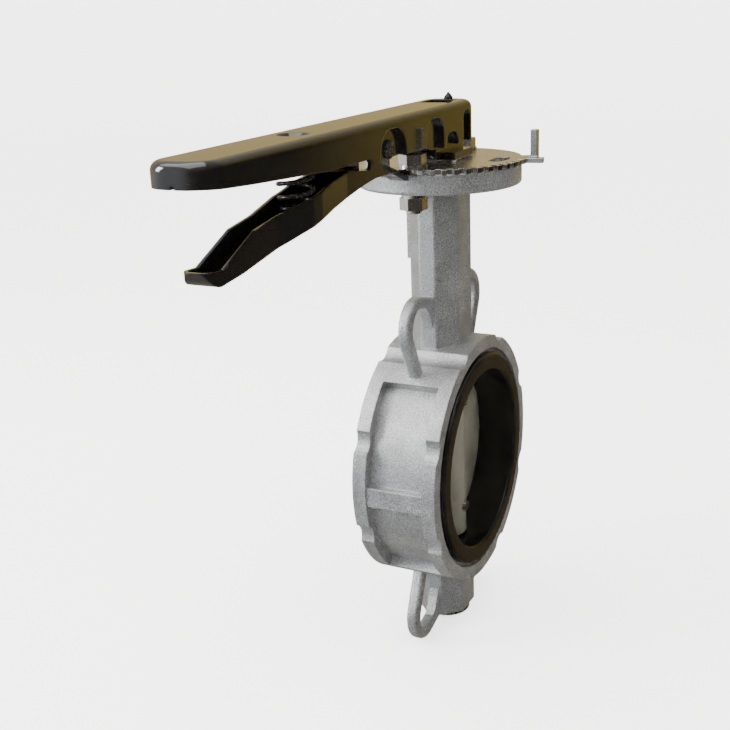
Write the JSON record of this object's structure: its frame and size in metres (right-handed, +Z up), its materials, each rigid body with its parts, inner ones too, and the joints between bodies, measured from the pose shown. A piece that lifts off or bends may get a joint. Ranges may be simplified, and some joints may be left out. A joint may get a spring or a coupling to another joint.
{
  "type": "lever butterfly valve",
  "caption": "Wafer butterfly valve with a rubber-lined bore, quarter-turn disc, notched plate and a locking lever with a squeeze trigger.",
  "frame": {"origin": "centre of the bore, on the pipe's axis, midway between the two faces", "axes": "+X along the pipe, +Z up the stem to the lever, the closed lever points along -Y"},
  "size_m": [0.1015, 0.3152, 0.3107],
  "materials": {
    "cast_aluminium": "sand cast and shot blasted, fine grain",
    "black_rubber": "smooth moulded rubber with a soft sheen",
    "black_paint": "glossy black dip paint on pressed steel",
    "black_steel": "glossy blackened steel",
    "zinc_steel": "bright zinc plate",
    "stainless_steel": "turned stainless steel",
    "disc_metal": "satin machined casting",
    "bronze": "turned bearing bronze",
    "white_plastic": "plain PTFE"
  },
  "bodies": {
    "valve": {"valve_body": "cast_aluminium", "seat_liner": "black_rubber", "lower_neck_bush": "bronze", "upper_neck_bush": "bronze", "bottom_bush": "bronze", "gland_ring": "white_plastic", "stem_o_rings": "black_rubber", "bottom_plug": "zinc_steel", "plug_gasket": "black_rubber", "notch_plate": "zinc_steel", "plate_bolts": "zinc_steel", "plate_nuts": "zinc_steel", "flat_washers": "zinc_steel", "spring_washers": "zinc_steel"},
    "stem_and_lever": {"stem": "stainless_steel", "disc": "disc_metal", "disc_pins": "stainless_steel", "stem_circlip": "black_steel", "lever": "black_paint", "lever_hub": "black_paint", "clamp_screw": "black_steel", "pivot_pin": "black_steel", "return_spring": "black_steel"},
    "trigger": {"trigger": "black_paint"}
  },
  "joints": [
    {"name": "valve_turn", "type": "hinge", "parent": "valve", "child": "stem_and_lever", "pos_m": [0, 0, 0.1], "axis": [0, 0, 1], "range_deg": [0, 90]},
    {"name": "trigger_squeeze", "type": "hinge", "parent": "stem_and_lever", "child": "trigger", "pos_m": [0, -0.089, 0.189], "axis": [-1, 0, 0], "range_deg": [0, 8], "stiffness_Nm_per_rad": 6, "springref_deg": -11.46, "deforming": ["return_spring"]}
  ]
}
